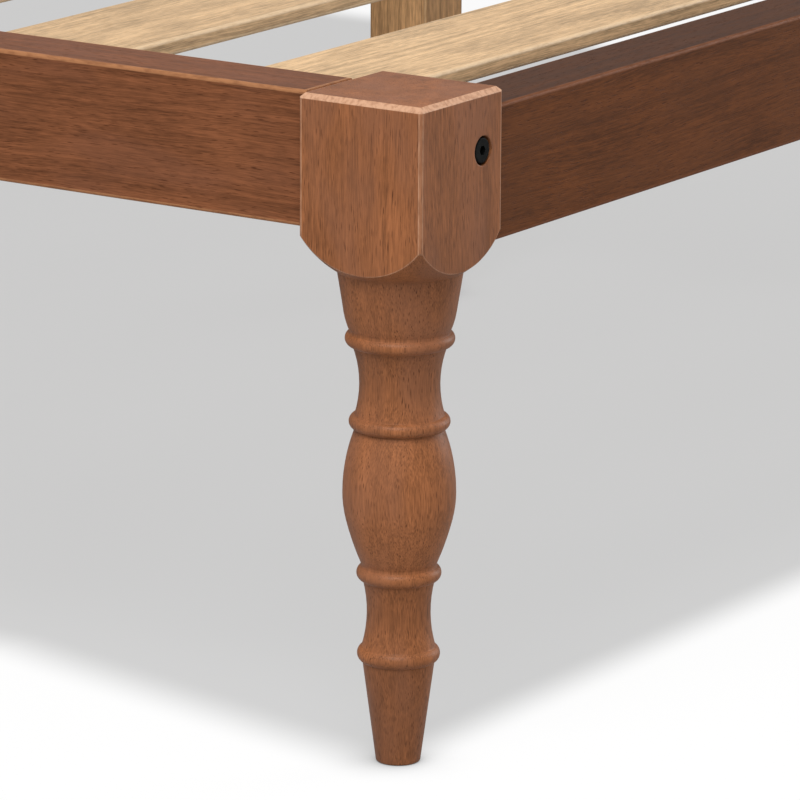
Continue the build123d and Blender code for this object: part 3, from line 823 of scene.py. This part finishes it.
# Painted shadow: grey in the floor's colour where the bed stands over it
below = wood_sum(tree, "MULTIPLY", side, end)
shown = wood_mix(tree, below, (1, 1, 1, 1), (PAINTED_SHADOW_GREY, PAINTED_SHADOW_GREY, PAINTED_SHADOW_GREY, 1))
open_sky = wood_node(tree, "ShaderNodeAmbientOcclusion", {"Distance": CONTACT_REACH}, samples=CONTACT_SAMPLES)
contact = wood_fade(tree, open_sky.outputs["AO"], *CONTACT_FADE)
seen = wood_node(tree, "ShaderNodeEmission", {"Color": shown, "Strength": contact})
view = wood_node(tree, "ShaderNodeLightPath").outputs["Is Camera Ray"]
pale = wood_sum(tree, "MULTIPLY_ADD", view, FLOOR_SEEN - FLOOR_BOUNCE, FLOOR_BOUNCE)
matt = wood_node(tree, "ShaderNodeBsdfDiffuse", {"Color": pale})
share = wood_sum(tree, "MULTIPLY", view, SHOWN_SHARE)
mixed = wood_node(tree, "ShaderNodeMixShader", {0: share, 1: matt.outputs[0], 2: seen.outputs[0]})
wood_node(tree, "ShaderNodeOutputMaterial", {"Surface": mixed.outputs[0]})
sheet.materials.append(paper)

# Light. A broad softbox high on the left, a weaker and lower one on the right, and an even
# pale room. A softbox's power follows the square of its distance, so its level alone says how
# strongly it lights the bed.

ROOM_LIGHT = 0.45
SOFTBOXES = {
    "left_softbox": {"towards": (-0.62, -0.34, 0.71), "distance": 5.0, "side": 2.6, "level": 0.70},
    "right_softbox": {"towards": (0.78, -0.56, 0.30), "distance": 5.0, "side": 2.6, "level": 0.36},
}

world = bpy.data.worlds.new("room")
bpy.context.scene.world = world
world.use_nodes = True
world.node_tree.nodes["Background"].inputs["Color"].default_value = (1, 1, 1, 1)
world.node_tree.nodes["Background"].inputs["Strength"].default_value = ROOM_LIGHT

for name, box in SOFTBOXES.items():
    lamp = bpy.data.lights.new(name, "AREA")
    lamp.size = box["side"]
    lamp.energy = box["level"] * (math.pi * box["distance"]) ** 2
    holder = bpy.data.objects.new(name, lamp)
    towards = Vector(box["towards"]).normalized()
    holder.location = towards * box["distance"]
    holder.rotation_euler = towards.to_track_quat("Z", "Y").to_euler()
    bpy.context.scene.collection.objects.link(holder)

# Camera. It stands off the foot-left corner with a long lens, and the post's outer top
# corner falls on the given pixel.

IMAGE_SIDE = 800
CORNER_PIXEL = (421.60, 109.19)
FOCAL_PIXELS = 5878
SENSOR_WIDTH = 36
CAMERA_AZIMUTH = math.radians(-56.18)
CAMERA_HEIGHT_ANGLE = math.radians(14.14)
CAMERA_ROLL = math.radians(0.27)
CAMERA_DISTANCE = 2.51

post_low, post_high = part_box("post_foot_left")
corner = Vector((post_low.x, post_low.y, post_high.z))
level_right = Vector((math.cos(CAMERA_AZIMUTH), math.sin(CAMERA_AZIMUTH), 0))
behind = Vector((math.sin(CAMERA_AZIMUTH), -math.cos(CAMERA_AZIMUTH), 0)) * math.cos(CAMERA_HEIGHT_ANGLE)
behind.z = math.sin(CAMERA_HEIGHT_ANGLE)
level_up = behind.cross(level_right)
right = level_right * math.cos(CAMERA_ROLL) + level_up * math.sin(CAMERA_ROLL)
up = level_up * math.cos(CAMERA_ROLL) - level_right * math.sin(CAMERA_ROLL)
pixel = CAMERA_DISTANCE / FOCAL_PIXELS
aside = (CORNER_PIXEL[0] - IMAGE_SIDE / 2) * pixel
down = (CORNER_PIXEL[1] - IMAGE_SIDE / 2) * pixel
stand = corner + behind * CAMERA_DISTANCE - right * aside + up * down

lens = bpy.data.cameras.new("camera")
lens.sensor_width = SENSOR_WIDTH
lens.lens = FOCAL_PIXELS / IMAGE_SIDE * SENSOR_WIDTH
camera = bpy.data.objects.new("camera", lens)
camera.matrix_world = Matrix((right, up, behind)).transposed().to_4x4()
camera.location = stand
bpy.context.scene.collection.objects.link(camera)
bpy.context.scene.camera = camera
bpy.context.scene.view_settings.view_transform = "Standard"
